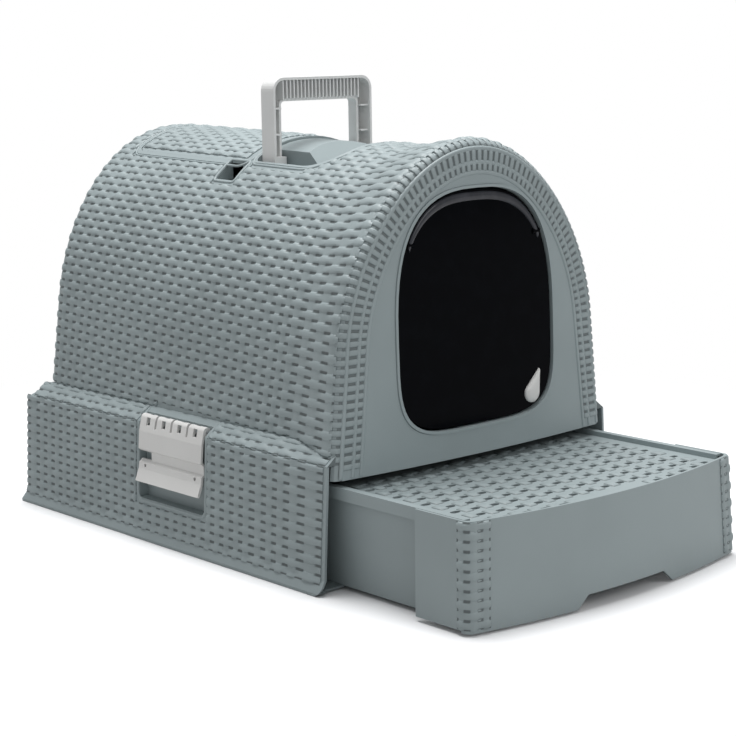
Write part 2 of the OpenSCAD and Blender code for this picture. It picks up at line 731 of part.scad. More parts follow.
module carry_handle() color(light_grey) {
    grip_hw = handle_w / 2 - leg_w;
    translate([0, pivot_y, pivot_z]) difference() {
        intersection() {
            along_y(-foot_r, foot_r) difference() {
                polygon(handle_outer(0));
                polygon(handle_window(0));
            }
            along_x(-handle_w, handle_w) union() {
                circle(r = foot_r);
                translate([-foot_r, 0]) square([2 * foot_r, handle_h + 1]);
            }
        }
        difference() {
            along_y(-foot_r - 1, foot_r - handle_t) difference() {
                polygon(handle_outer(handle_t));
                polygon(handle_window(handle_t));
                translate([-handle_w, -2 * foot_r]) square([2 * handle_w, 3 * foot_r]);
            }
            for (z = leg_ribs) block([-handle_w, rib_set - foot_r, z], [handle_w, foot_r, z + rib_t]);
            for (i = [0 : grip_ribs - 1]) {
                x = (2 * grip_hw + 4) * ((i + 0.5) / grip_ribs - 0.5);
                block([x - rib_t / 2, rib_set - foot_r, handle_h - grip_h], [x + rib_t / 2, foot_r, handle_h]);
            }
        }
        along_y(-foot_r - 1, inner_set - foot_r) difference() {
            polygon(handle_window(handle_t + 0.02));
            translate([-handle_w, -2 * foot_r]) square([2 * handle_w, 3 * foot_r]);
        }
        rod_x(-handle_w, handle_w, 0, 0, handle_pin_r + run_gap);
    }
}

module handle_pins() color(steel) {
    both_sides() rod_x(handle_w / 2 - leg_w - 1.6, bed_hw + bed_t, pivot_y, pivot_z, handle_pin_r);
}

module hump_form(g) {
    y0 = hump_front + g;
    y1 = hump_back - g;
    z1 = crest_h - hump_drop - hump_low - g;
    intersection() {
        along_x(-hump_hw + g, hump_hw - g) polygon([[y0, bed_floor - (g > 0 ? 1 : 0)], [y0, bed_floor + 9],
            [y0 + 28, z1], [y1, z1], [y1, bed_floor - (g > 0 ? 1 : 0)]]);
        arch(-hump_drop - g, y0 - 5, y1 + 5);
    }
}

module filter_cover() color(sage) {
    difference() {
        hump_form(0);
        hump_form(hump_t);
    }
}

module filter_grille() color(sage) {
    x1 = hump_hw - hump_t - seat_gap;
    y0 = hump_front + hump_t + seat_gap;
    y1 = hump_back - hump_t - seat_gap;
    slots = 9;
    upright(bed_floor, bed_floor + grille_t) difference() {
        translate([-x1, y0]) square([2 * x1, y1 - y0]);
        for (i = [0 : slots - 1])
            translate([(2 * x1 - 16) * ((i + 0.5) / slots - 0.5) - 2, y0 + 8]) square([4, y1 - y0 - 16]);
    }
}

module carbon_filter() color([0.12, 0.12, 0.13]) {
    x1 = hump_hw - hump_t - 2;
    z0 = bed_floor + grille_t;
    block([-x1, hump_front + hump_t + 8, z0], [x1, hump_back - hump_t - 2, z0 + filter_t]);
}

module lid_plan(g) {
    polygon(soft_rect(lid_hw + g, lid_front - g, lid_back + g, lid_r + g, lid_r + g));
}

// Calls its children at the middle of each of the lid's two knuckles
module at_knuckles() {
    for (share = [0.22, 0.78]) translate([0, lid_front + share * lid_l, 0]) children();
}

module storage_tray() color(sage) on_roof() {
    difference() {
        union() {
            intersection() {
                difference() {
                    roof_arch(0.6, lid_front - 10, lid_back + 10);
                    roof_arch(-wall - 1.5, lid_front - 11, lid_back + 11);
                }
                upright(spring_h, crest_h + 10) difference() {
                    lid_plan(lid_frame);
                    lid_plan(0);
                }
            }
            intersection() {
                roof_arch(-lid_t - 0.6, lid_front - 10, lid_back + 10);
                upright(tub_z, crest_h + 10) lid_plan(1);
            }
            intersection() {
                roof_arch(-wall - seat_gap, lid_front - 20, lid_back + 10);
                block([-lid_hw - notch_w - tub_t, notch_y - tub_t, notch_z - tub_t],
                    [-lid_hw, notch_y + notch_l + tub_t, crest_h]);
            }
            at_knuckles() for (s = [-1, 1]) translate([0, s * (knuckle_l + knuckle_side + 1) / 2, 0])
                rod_y(-knuckle_side / 2, knuckle_side / 2, hinge_x, hinge_z, knuckle_r);
        }
        upright(tub_z + tub_t, crest_h + 10) difference() {
            lid_plan(-tub_t);
            translate([-lid_hw, lid_front - 1]) square([tub_t, lid_l + 2]);
        }
        block([-lid_hw - notch_w, notch_y, notch_z], [-lid_hw + tub_t + 0.1, notch_y + notch_l, crest_h + 10]);
        at_knuckles() rod_y(-knuckle_l / 2 - 0.5, knuckle_l / 2 + 0.5, hinge_x, hinge_z, knuckle_cut);
        rod_y(lid_front, lid_back, hinge_x, hinge_z, rod_r);
    }
}

module storage_lid() color(sage) on_roof() {
    difference() {
        union() {
            intersection() {
                difference() {
                    roof_arch(0.2, lid_front, lid_back);
                    roof_arch(0.2 - lid_t, lid_front - 1, lid_back + 1);
                }
                upright(spring_h, crest_h + 10) lid_plan(-lid_gap);
            }
            at_knuckles() rod_y(-knuckle_l / 2, knuckle_l / 2, hinge_x, hinge_z, knuckle_r);
        }
        at_knuckles() for (s = [-1, 1]) translate([0, s * (knuckle_l + knuckle_side + 1) / 2, 0])
            rod_y(-knuckle_side / 2 - 0.5, knuckle_side / 2 + 0.5, hinge_x, hinge_z, knuckle_cut);
        rod_y(lid_front, lid_back, hinge_x, hinge_z, rod_r + run_gap);
    }
}

module lid_hinge_rod() color(steel) on_roof() {
    rod_y(lid_front + 0.22 * lid_l - knuckle_l / 2 - knuckle_side, lid_front + 0.78 * lid_l + knuckle_l / 2
        + knuckle_side, hinge_x, hinge_z, rod_r);
}

scoop_hw = 38;
scoop_l = 86;
scoop_h = 26;
scoop_t = 2;
stem_l = 78;
stem_w = 20;
stem_h = 7;

module litter_scoop() color(light_grey) on_roof() {
    y0 = lid_front + 6;
    z0 = tub_z + tub_t + seat_gap;
    difference() {
        union() {
            block([-scoop_hw, y0, z0], [scoop_hw, y0 + scoop_l, z0 + scoop_h]);
            block([-stem_w / 2, y0 + scoop_l - 1, z0 + scoop_h - stem_h],
                [stem_w / 2, y0 + scoop_l + stem_l, z0 + scoop_h]);
        }
        block([-scoop_hw + scoop_t, y0 - 1, z0 + scoop_t],
            [scoop_hw - scoop_t, y0 + scoop_l - scoop_t, z0 + scoop_h + 1]);
        for (i = [-3 : 3]) block([10 * i - 2.5, y0 + 10, z0 - 1],
            [10 * i + 2.5, y0 + scoop_l - 14, z0 + scoop_t + 1]);
        translate([0, y0 + scoop_l + stem_l - stem_w / 2, z0]) cylinder(r = 4, h = scoop_h + 1);
    }
}

// Section of a clip from its axle: the upper plate, the inward bead and the flared finger lip
clip_outer = [[finger_r, 0.5], [7.4, -12], [8.9, 2.5 - bead_drop], [5.6, -bead_drop], [5.6, -bead_drop - 8.5],
    [8.6, -bead_drop - 11], [9.5, 12 - clip_h], [14.2, -clip_h]];
function clip_section() = let (n = len(clip_outer)) concat(clip_outer, [for (i = [n - 1 : -1 : 0])
    clip_outer[i] - [clip_t, i == n - 1 ? 0.8 : i == 0 ? 2 : i < 3 ? -0.9 : 0.7]]);
hole_r = 1.8;                   // radius of the two small holes in the clip's lip
hole_in = 10.3;                 // distance of those holes from the clip's ends

// One clip on the +X side
module clip() {
    y0 = clip_y - clip_w / 2;
    y1 = clip_y + clip_w / 2;
    difference() {
        union() {
            translate([axle_x, 0, axle_z]) along_y(y0, y1) polygon(clip_section());
            rod_y(y0, y1, axle_x, axle_z, finger_r);
        }
        rod_y(y0 - 1, y1 + 1, axle_x, axle_z, axle_r + run_gap);
        for (i = [1 : fingers - 1]) {
            y = clip_y + clip_w * (i / fingers - 0.5);
            block([axle_x - 10, y - finger_slot / 2, axle_z - 8], [axle_x + 12, y + finger_slot / 2, axle_z + 6]);
        }
        for (i = [0 : fingers - 1]) {
            a = finger_y(i) - window_w / 2;
            b = finger_y(i) + window_w / 2;
            rod_y(a, b, axle_x, axle_z, bridge_r);
            block([axle_x - 5, a, axle_z - 5], [axle_x + 0.5, b, axle_z + 5]);
            block([axle_x - 5, a, axle_z - 6], [axle_x + 12, b, axle_z + 1.8]);
        }
        block([axle_x, y1 - 17, axle_z - bead_drop - 8], [axle_x + 12, y1 + 1, axle_z - bead_drop]);
        for (y = [y0 + hole_in, y1 - hole_in]) rod_x(axle_x, axle_x + 14, y, axle_z - 45.5, hole_r);
    }
}

module axle() {
    rod_y(pocket_y0, pocket_y1, axle_x, axle_z, axle_r);
}

module clip_right() color(light_grey) clip();
module clip_left() color(light_grey) mirror([1, 0, 0]) clip();
module clip_axle_right() color(steel) axle();
module clip_axle_left() color(steel) mirror([1, 0, 0]) axle();

base_housing();
hood_shell();
front_panel();
door_frame();
swing_door();
door_hinge_pins();
door_pull_tab();
drawer_pan();
drawer_front();
step_sieve();
handle_bed();
carry_handle();
handle_pins();
filter_cover();
carbon_filter();
filter_grille();
storage_tray();
storage_lid();
lid_hinge_rod();
litter_scoop();
clip_left();
clip_right();
clip_axle_left();
clip_axle_right();
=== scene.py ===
"""Visual model of a hooded litter box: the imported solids, dressed with a raised moulded wicker,
beads and finishes. Lengths in the shape functions are millimetres in the part's own frame."""
import json
import math

import bpy
import numpy as np
from mathutils import Matrix


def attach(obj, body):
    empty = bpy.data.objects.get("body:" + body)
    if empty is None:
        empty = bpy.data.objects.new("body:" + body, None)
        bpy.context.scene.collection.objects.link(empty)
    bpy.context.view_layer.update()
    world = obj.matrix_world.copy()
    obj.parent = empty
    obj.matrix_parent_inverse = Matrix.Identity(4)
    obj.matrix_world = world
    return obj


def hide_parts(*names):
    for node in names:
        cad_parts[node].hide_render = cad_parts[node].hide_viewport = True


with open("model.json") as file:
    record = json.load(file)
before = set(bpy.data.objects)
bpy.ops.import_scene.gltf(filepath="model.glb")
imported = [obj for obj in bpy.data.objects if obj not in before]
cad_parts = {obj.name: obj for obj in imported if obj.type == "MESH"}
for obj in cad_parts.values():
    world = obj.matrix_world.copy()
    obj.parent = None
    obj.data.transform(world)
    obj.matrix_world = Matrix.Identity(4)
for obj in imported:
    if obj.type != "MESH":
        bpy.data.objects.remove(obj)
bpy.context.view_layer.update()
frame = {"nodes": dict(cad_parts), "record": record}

# ---- sizes shared with the solids, in millimetres ----
FRONT_Y = -151.737          # line of the housing's front corners
REAR_Y = 338.263            # rear edge of the base's flange
HOOD_Y, CREST_Z = 310.763, 391.0
TILT = math.radians(1.55)   # the crest falls towards the front
SPRING_Z = 215.0            # where the side walls start to curve over
MAIN = (155.0, 10.0 / 87.0, 391.0, 2.15)    # half width, lean, crest, roundness
BROW = (164.0, 0.105, 389.0, 2.0)           # the same at the hood's front edge
BROW_R, BROW_Y = 9.0, FRONT_Y - 1.5
BACK_R, BACK_Y = 10.0, 307.263              # rounded rear edge of the hood
FLARE_Y0, FLARE_Y1 = FRONT_Y + 12.0, FRONT_Y + 60.0
FACE_MID_Y, FACE_Z, FACE_LEAN = FRONT_Y - 11.0, 101.0, math.radians(1.6)
BASE_HW = 192.5             # half width over the base's flange
BOW_R = (BASE_HW ** 2 + 11.0 ** 2) / 22.0   # radius of the front's bow
BASE_Z, SHOULDER_Z = 115.0, 128.0
SLOPE_X, SLOPE_Y, SLOPE_Z = 181.5, 327.263, 115.3       # foot of the slope from the base to the hood
SLOPE_IN, SLOPE_UP = 16.5, 12.7                         # how far it goes inwards and up
SLOPE = math.hypot(SLOPE_IN, SLOPE_UP)
DRAWER_HW, DRAWER_Y, DRAWER_BOW = 172.0, -313.737, -21.0
PITCH = 8.35                # height of one strand of the wicker
COLUMN = 14.4               # distance between two stakes of the wicker
BASE_STRANDS = 9.7 + 8.27 * (np.arange(13) + 0.5)       # heights of the base's strands
SLOPE_STRANDS = np.array([4.2, 12.5, 19.0])             # places of the strands up the slope
CREASE = math.radians(68)   # faces that meet at more than this are shaded with an edge


# ---- meshes ----
def piece(name, points, faces, body, finish, slot="sage_plastic", painted_light_level=None):
    """Makes a mesh of points in millimetres and face arrays, and lets it ride on a body."""
    mesh = bpy.data.meshes.new(name)
    corners = np.concatenate([np.asarray(f).ravel() for f in faces]).astype(np.int32)
    sizes = np.concatenate([np.full(len(f), np.asarray(f).shape[1]) for f in faces])
    starts = (np.cumsum(sizes) - sizes).astype(np.int32)
    mesh.vertices.add(len(points))
    mesh.vertices.foreach_set("co", (np.asarray(points) * 0.001).astype(np.float32).ravel())
    mesh.loops.add(len(corners))
    mesh.loops.foreach_set("vertex_index", corners)
    mesh.polygons.add(len(sizes))
    mesh.polygons.foreach_set("loop_start", starts)
    mesh.update(calc_edges=True)
    mesh.validate()
    mesh.polygons.foreach_set("use_smooth", np.ones(len(mesh.polygons), bool))
    mesh.set_sharp_from_angle(angle=CREASE)
    if painted_light_level is not None:
        layer = mesh.attributes.new("painted_light_level", "FLOAT", "POINT")
        layer.data.foreach_set("value", np.asarray(painted_light_level, np.float32))
    thing = bpy.data.objects.new(name, mesh)
    bpy.context.scene.collection.objects.link(thing)
    mesh.materials.append(finish)
    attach(thing, body)
    return thing


def joined(*parts):
    """Several (points, faces, relief) sets as one: later faces count on from the earlier points."""
    points, faces, painted_light_level, start = [], [], [], 0
    for p, f, r in parts:
        points.append(p)
        painted_light_level.append(r)
        faces += [np.asarray(a) + start for a in f]
        start += len(p)
    return np.concatenate(points), faces, np.concatenate(painted_light_level)


def mirrored(part):
    """The same set on the other side: x changes sign and every face is turned round."""
    p, f, r = part
    return p * [-1, 1, 1], [np.asarray(a)[:, ::-1] for a in f], r


def both(part):
    """The set and its mirror image together."""
    return joined(part, mirrored(part))


def grid_faces(nu, nv):
    """Quads of a grid of nu by nv points, and its border as one face seen from below."""
    i = np.arange(nu * nv).reshape(nu, nv)
    quads = np.stack([i[:-1, :-1], i[1:, :-1], i[1:, 1:], i[:-1, 1:]], -1).reshape(-1, 4)
    rim = np.concatenate([i[0, :], i[1:, -1], i[-1, -2::-1], i[-2:0:-1, 0]])
    return quads, rim[None]


def normals(surface, u, v):
    """Unit normal of a surface: the cross product of its two directions."""
    step = 0.05
    du = surface(u + step, v) - surface(u - step, v)
    dv = surface(u, v + step) - surface(u, v - step)
    n = np.cross(du, dv)
    return n / np.maximum(np.linalg.norm(n, axis=-1, keepdims=True), 1e-9)


def raised(surface, u, v, height):
    """Point of a surface plus its unit normal times a height."""
    return surface(u, v) + normals(surface, u, v) * height[..., None]


# ---- the hood ----
def section(shape, tau, grow):
    """Point of an arch grown outwards: below zero tau goes down the leaning side, and from 0 to a
    quarter turn over the superellipse whose axes are the half width and the height over the
    spring line."""
    half, lean, crest, power = shape
    t = np.clip(tau, 0, math.pi / 2)
    z = np.where(tau < 0, SPRING_Z + 100 * tau,
                 SPRING_Z + (crest + grow - SPRING_Z) * np.sin(t) ** (2 / power))
    x = (half + grow - lean * (z - SPRING_Z)) * np.cos(t) ** (2 / power)
    return x, z


def arc_table(shape):
    """Distance along an arch from its crest, against tau."""
    tau = np.concatenate([np.linspace(math.pi / 2, 0, 1500), np.linspace(-0.01, -1.3, 130)])
    x, z = section(shape, tau, 0.0)
    return np.concatenate([[0], np.cumsum(np.hypot(np.diff(x), np.diff(z)))]), tau


MAIN_ARC, BROW_ARC = arc_table(MAIN), arc_table(BROW)
# Strands run level on the walls, and at the front the tilted roof is lower. So the brow's arc, down
# to 10.5 under its spring line, takes as many of them as the main arch's does down to its own.
MAIN_TOP = float(np.interp(0.0, -MAIN_ARC[1], MAIN_ARC[0]))
BROW_TOP = float(np.interp(0.105, -BROW_ARC[1], BROW_ARC[0]))
BROW_ROWS = [0.0, MAIN_TOP, MAIN_TOP + 300.0], [0.0, BROW_TOP, BROW_TOP + 300.0]
FRONT_U = BACK_Y - BACK_R - (BROW_Y + BROW_R)     # where the front rounding starts
WALL_FROM, WALL_LONG, WALL_LEAN = 234, 120, 0.07  # arc at which columns start to lean, and how much


def roofed(x, y, z):
    """A point of the level roof where the tilted roof has it."""
    a, b = y - HOOD_Y, z - CREST_Z
    c, s = math.cos(TILT), math.sin(TILT)
    return np.stack(np.broadcast_arrays(x, HOOD_Y + a * c - b * s, CREST_Z + a * s + b * c), -1)


def face_y(x, z):
    """Depth of the bowed and leaning front."""
    return FACE_MID_Y + x * x / (2 * BOW_R) + (z - FACE_Z) * math.tan(FACE_LEAN)


def hood_skin(u, v):
    """The hood's outside: v runs from the crest down each side, u from the start of the rear
    rounding to the front, then over a quarter circle and inwards across the front rim. Columns
    lean a little on the lower walls."""
    tau = np.interp(np.abs(v), *MAIN_ARC)
    tau_brow = np.interp(np.interp(np.abs(v), *BROW_ROWS), *BROW_ARC)
    side = np.where(v < 0, -1.0, 1.0)
    y = BACK_Y - BACK_R - u
    ends = np.clip((y + 150) / 40, 0, 1) * np.clip(u / 60, 0, 1)
    y = y + WALL_LEAN * np.clip(np.abs(v) - WALL_FROM, 0, WALL_LONG) * ends
    turn_back = np.clip(-u / BACK_R, 0, math.pi / 2)
    x, z = section(MAIN, tau, -BACK_R * (1 - np.cos(turn_back)))
    y_main = np.where(u < 0, BACK_Y - BACK_R + BACK_R * np.sin(turn_back), np.maximum(y, FLARE_Y1))
    main = roofed(x * side, y_main, z)
    e = u - FRONT_U
    turn = np.clip(e / BROW_R, 0, math.pi / 2)
    inset = BROW_R * (1 - np.cos(turn)) + np.maximum(0, e - BROW_R * math.pi / 2)
    x, z = section(BROW, tau_brow, -inset)
    y_brow = np.where(e < 0, np.minimum(y, FLARE_Y0), BROW_Y + BROW_R * (1 - np.sin(turn)))
    y_brow = np.where(e > 0, np.maximum(y_brow, face_y(x, z)), y_brow)
    y_brow = np.where(e > BROW_R * math.pi / 2 - 1.5, face_y(x, z), y_brow)
    brow = np.stack(np.broadcast_arrays(x * side, y_brow, z), -1)
    w = np.clip((y - FLARE_Y0) / (FLARE_Y1 - FLARE_Y0), 0, 1)[..., None]
    bulge = 0.6 * side[..., None] * 4 * w * (1 - w) * [1.0, 0.0, 0.0]
    return main * w + brow * (1 - w) + bulge


def roof_spot(x, y):
    """(u, v) of the hood's outside over a point of the level roof's plan."""
    tau = np.linspace(math.pi / 2, 0, 1500)
    xs, _ = section(MAIN, tau, 0.0)
    down = np.interp(tau[::-1], MAIN_ARC[1][::-1], MAIN_ARC[0][::-1])
    v = np.interp(np.interp(np.abs(x), xs, tau), tau[::-1], down)
    return BACK_Y - BACK_R - y, np.where(x < 0, -v, v)


def soft_box(x, y, half, y0, y1, front_r, rear_r):
    """Distance outside a rectangle with one corner radius at each end, negative inside."""
    mid, r = (y0 + y1) / 2, np.where(y < (y0 + y1) / 2, front_r, rear_r)
    dx, dy = np.abs(x) - half + r, np.abs(y - mid) - (y1 - y0) / 2 + r
    return np.hypot(np.maximum(dx, 0), np.maximum(dy, 0)) + np.minimum(np.maximum(dx, dy), 0) - r


BED = (70.0, -27.737, 77.763, 34.0, 6.0)            # plan of the handle's recess
LID = (72.0, 88.463, 271.463, 9.0, 9.0)             # plan of the storage lid
NOTCH = (10.0, 83.863, 111.863, 1.0, 1.0)           # finger notch, centred at NOTCH_X
NOTCH_X = -82.0
POCKET = (23.463, 129.063, 39.9, 124.9)             # clip pocket: y from, y to, z from, z to


def off_hood(p):
    """True where the hood has no wicker: its recess, the lid's frame, the notch and the pockets."""
    x, y, z = p[..., 0], p[..., 1], p[..., 2]
    top, behind_rim = z > 300, y > -147.5
    bed = soft_box(x, y, *BED) < 5.2
    lid = soft_box(x, y, *LID) < 6.6
    notch = soft_box(x - NOTCH_X, y, *NOTCH) < 3.6
    pocket = (y > POCKET[0] - 4.2) & (y < POCKET[1] + 4.2) & (z < POCKET[3] + 4)
    slope_x = SLOPE_X - SLOPE_IN / SLOPE_UP * (z - SLOPE_Z)
    slope = (z < SHOULDER_Z + 0.5) & (np.abs(x) < slope_x + 0.4) & behind_rim
    foot = (z < np.where(behind_rim, 116.5, 103.0)) | ((x < 0) & (z < 116.5) & (y > -150))
    return (top & (bed | lid | notch)) | (~top & (pocket | slope | foot))


# ---- wicker ----
SUNK = 0.5                  # how deep a piece stands in the solid that carries it


def cushions(surface, u, v, half_u, half_v, profile_u, profile_v):
    """Closed little pads on a surface: the height is profile_u along u plus profile_v across v, and
    the edge is sunk into the solid."""
    nu, nv = len(profile_u[0]), len(profile_v[0])
    i, j = profile_u[0][None, :, None], profile_v[0][None, None, :]
    uu, vv = np.broadcast_arrays(u[:, None, None] + half_u * i, v[:, None, None] + half_v * j)
    edge = np.ones((1, nu, nv), bool)
    edge[:, 1:-1, 1:-1] = False
    height = np.where(edge, -SUNK, profile_u[1][None, :, None] + profile_v[1][None, None, :])
    height = np.broadcast_to(height, uu.shape)
    points = raised(surface, uu, vv, height).reshape(-1, 3)
    quads, rim = grid_faces(nu, nv)
    first = (np.arange(len(u)) * nu * nv)[:, None, None]
    faces = [(quads[None] + first).reshape(-1, 4), (rim[None] + first).reshape(-1, rim.shape[1])]
    # The third array, height / 1.5, is read by the wicker's material to paint shade on the pads' low
    # edges.
    return points, faces, np.clip(height / 1.5, 0, 1).reshape(-1)


def free_span(points, at, blocked):
    """First and last free place along each row of tried places, whether the row is cut, and
    whether any of it is free."""
    free = ~blocked(points)
    first = np.argmax(free, 1)
    last = at.shape[1] - 1 - np.argmax(free[:, ::-1], 1)
    row = np.arange(len(at))
    return at[row, first], at[row, last], free.any(1) & ~free.all(1), free.any(1)


CELL_U = np.array([-1, -0.66, -0.36, 0.0, 0.36, 0.66, 1])
CELL_V = np.array([-1, -0.8, -0.52, -0.2, 0.2, 0.52, 0.8, 1])
GROOVE, ROUND = 0.68, 0.42      # height of a strand's edges, and what its round section adds
OVER, STAKE, UNDER = 1.35, 0.9, 0.45    # swell over a stake, ridge of a stake, dip beside the ridge
FILL, SLOT_FLOOR = 0.6, 0.07    # height of a stake in the grooves, and of the slots' bottom


def ease(value, low, high):
    """Rises smoothly from 0 at low to 1 at high."""
    t = np.clip((value - low) / (high - low), 0, 1)
    return t * t * (3 - 2 * t)


def woven_cells(surface, u0, u, u1, v0, v1, over, flat):
    """Cells of a plain weave that touch: each is a strand with a round section that swells as a
    cosine where it runs over a stake, and a low upright ridge where the stake runs over it. Between
    strands the stake fills the groove. At its four corners a cell dips into the small dark slots
    that are left midway between stakes. Walls and a floor that stand in the solid close it."""
    i, j = CELL_U[None, :, None], CELL_V[None, None, :]
    u, u0, u1, v0, v1, over = (a[:, None, None] for a in (u, u0, u1, v0, v1, over))
    uu = u + np.where(i < 0, u - u0, u1 - u) * i + 0 * j
    vv = (v0 + v1) / 2 + (v1 - v0) / 2 * j + 0 * i
    rounded = (1 - np.abs(j) ** 2.4) ** 0.5
    hump = np.cos(math.pi / 2 * i)
    under = (STAKE * np.exp(-(i / 0.3) ** 4) - UNDER * hump) * rounded
    swell = np.where(over, OVER * hump * (1 - j * j) ** 0.6, under)
    fill = FILL * np.exp(-(i / 0.4) ** 4) * (1 - rounded)
    slot = ease(np.abs(i), 0.36, 0.68) * ease(np.abs(j), 0.54, 0.84)
    height = (GROOVE + ROUND * rounded + swell + fill) * flat
    height = height + (SLOT_FLOOR - height) * slot
    nu, nv = len(CELL_U), len(CELL_V)
    quads, rim = grid_faces(nu, nv)
    k = rim[0]
    foot_u, foot_v = uu.reshape(len(uu), -1)[:, k], vv.reshape(len(vv), -1)[:, k]
    top = raised(surface, uu, vv, height).reshape(len(uu), -1, 3)
    foot = raised(surface, foot_u, foot_v, -SUNK + 0 * foot_u)
    points = np.concatenate([top, foot], 1)
    n = points.shape[1]
    low = nu * nv + np.arange(len(k))
    walls = np.stack([k, np.roll(k, -1), np.roll(low, -1), low], -1)
    first = (np.arange(len(points)) * n)[:, None, None]
    faces = [(quads[None] + first).reshape(-1, 4), (walls[None] + first).reshape(-1, 4),
             (low[None, None] + first).reshape(-1, len(k))]
    # Painted shade mask: 1 on the strands, falling to 0 in the slots, where the wicker's material
    # paints the colour darker; the feet stay at 1.
    lit = np.concatenate([(1 - slot + 0 * uu).reshape(len(uu), -1), np.ones((len(uu), len(k)))], 1)
    return points.reshape(-1, 3), faces, lit.reshape(-1)


def wicker(surface, stakes, strands, first, last, low, high, blocked=None, flat=1.0, parity=0):
    """Plain weave on a surface: one cell for each strand at each stake, from midway to the stake
    before to midway to the stake after, cut back where the surface has an opening."""
    blocked = blocked or (lambda p: np.zeros(p.shape[:-1], bool))
    c, j = np.meshgrid(np.arange(len(stakes)), np.arange(len(strands)), indexing="ij")
    c, j = c.ravel(), j.ravel()
    between = np.concatenate([[first], (stakes[1:] + stakes[:-1]) / 2, [last]])
    half = abs(strands[1] - strands[0]) / 2
    u, v = stakes[c], strands[j]
    u0, u1 = between[c], between[c + 1]
    along = u0[:, None] + (u1 - u0)[:, None] * np.linspace(0, 1, 25)[None]
    a0, a1, cut, some = free_span(surface(along, v[:, None] + 0 * along), along, blocked)
    u0, u1 = np.where(cut, a0, u0), np.where(cut, a1, u1)
    u = np.clip(u, u0 + (u1 - u0) * 0.3, u1 - (u1 - u0) * 0.3)
    lowest, highest = np.maximum(v - half, low), np.minimum(v + half, high)
    across = lowest[:, None] + (highest - lowest)[:, None] * np.linspace(0, 1, 13)[None]
    v0, v1, cut, still = free_span(surface(u[:, None] + 0 * across, across), across, blocked)
    v0, v1 = np.where(cut, v0, lowest), np.where(cut, v1, highest)
    keep = some & still & (v1 - v0 > 2.6) & (u1 - u0 > 2.4)
    over = (c + j + parity) % 2 == 0
    return woven_cells(surface, *(a[keep] for a in (u0, u, u1, v0, v1, over)), flat)


def spread(start, stop, step):
    """Even places from start to stop, about a step apart."""
    n = max(1, int(round(abs(stop - start) / step)))
    return np.linspace(start, stop, n + 1)


def hood_wicker(side, strand_from, strand_to):
    """Part of the hood: stakes from the rear rounding to the front rounding, the last ones as wide
    apart as they are on the object, and strands at one pitch from the crest down."""
    y_front = np.array([-53.5, -66.5, -79.0, -99.0, -121.5])
    walls = BACK_Y - BACK_R - np.concatenate([spread(291.0, -39.5, COLUMN), y_front])
    stakes = np.concatenate([[-7.0], walls, [FRONT_U - 0.5]])
    strands = side * (np.arange(strand_from, strand_to) + 0.5) * PITCH
    edge = side * 380.0
    return wicker(hood_skin, stakes, strands, -16.5, FRONT_U + 3.2, min(edge, 0.0), max(edge, 0.0),
                  off_hood, parity=strand_from)


def rim_wicker():
    """The rim round the front: radial bars in three rows, one to each strand, between smooth ribs
    that follow the arch from foot to foot."""
    rows, pitch, foot = 46, 7.68, 372.7     # bars on each side, and the main arch's arc at its foot
    strands = (np.arange(-rows, rows) + 0.5) * pitch
    across = np.array([-1, -0.87, -0.5, 0.0, 0.5, 0.87, 1])
    run = (np.array([-1, -0.8, -0.3, 0.3, 0.8, 1]), np.array([0.1, 0.3, 0.4, 0.4, 0.3, 0.1]))
    cut = (across, 0.7 * (1 - np.abs(across) ** 2.6) ** 0.45)
    parts = []
    for place, half in [(6.1, 6.2), (19.5, 6.6), (29.3, 4.2)]:
        u = np.full(len(strands), FRONT_U + place)
        free = ~off_hood(hood_skin(u, strands))
        parts.append(cushions(hood_skin, u[free], strands[free], half, 2.85, run, cut))
    v = np.linspace(-1.0, 1.0, 420) * (MAIN_TOP + foot - BROW_TOP)
    for place in (12.9, 25.4, 34.4):
        u = np.full(len(v), FRONT_U + place)
        parts.append(bead(hood_skin(u, v), normals(hood_skin, u, v), 4.4, 1.15, False))
    return joined(*parts)


# ---- the base, its shoulder and the hood's rear ----
def base_in(z):
    """How far the base's wall stands in from the flange: a flare, then a slow lean."""
    return np.interp(z, [2.5, 14.0, BASE_Z], [0.0, 5.5, 11.0])


def base_side(u, v):
    """Left wall of the base: u runs to the front and v is the height."""
    return np.stack(np.broadcast_arrays(base_in(v) - BASE_HW, FRONT_Y - u, v), -1)


def base_rear(u, v):
    """Rear wall of the base: u runs to the left and v is the height."""
    return np.stack(np.broadcast_arrays(-u, REAR_Y - base_in(v), v), -1)


def shoulder_side(u, v):
    """Left slope between the base and the hood: v runs up the slope."""
    x, z = SLOPE_IN * v / SLOPE - SLOPE_X, SLOPE_Z + SLOPE_UP * v / SLOPE
    return np.stack(np.broadcast_arrays(x, FRONT_Y - u, z), -1)


def shoulder_rear(u, v):
    """Rear slope between the base and the hood."""
    y, z = SLOPE_Y - SLOPE_IN * v / SLOPE, SLOPE_Z + SLOPE_UP * v / SLOPE
    return np.stack(np.broadcast_arrays(-u, y, z), -1)


def hood_rear(u, v):
    """Flat rear wall of the hood, which leans with the roof."""
    return roofed(-u, BACK_Y, v)


def off_pocket(p):
    """True round the clip pocket, where the base and the slope have no wicker."""
    y, z = p[..., 1], p[..., 2]
    return (y > POCKET[0] - 4) & (y < POCKET[1] + 4) & (z > POCKET[2] - 4)


def off_rear(p):
    """True outside the rear wall's own arch, which is the hood's less its rounding."""
    x, z = p[..., 0], p[..., 2]
    half, lean, power = 144, 0.115, MAIN[3]
    t = np.clip((z - SPRING_Z) / (CREST_Z - 11 - SPRING_Z), 0, 1)
    arch = half * (1 - t ** power) ** (1 / power)
    edge = np.where(z < SPRING_Z, half + lean * (SPRING_Z - z), arch)
    return np.abs(x) > edge - 1.5


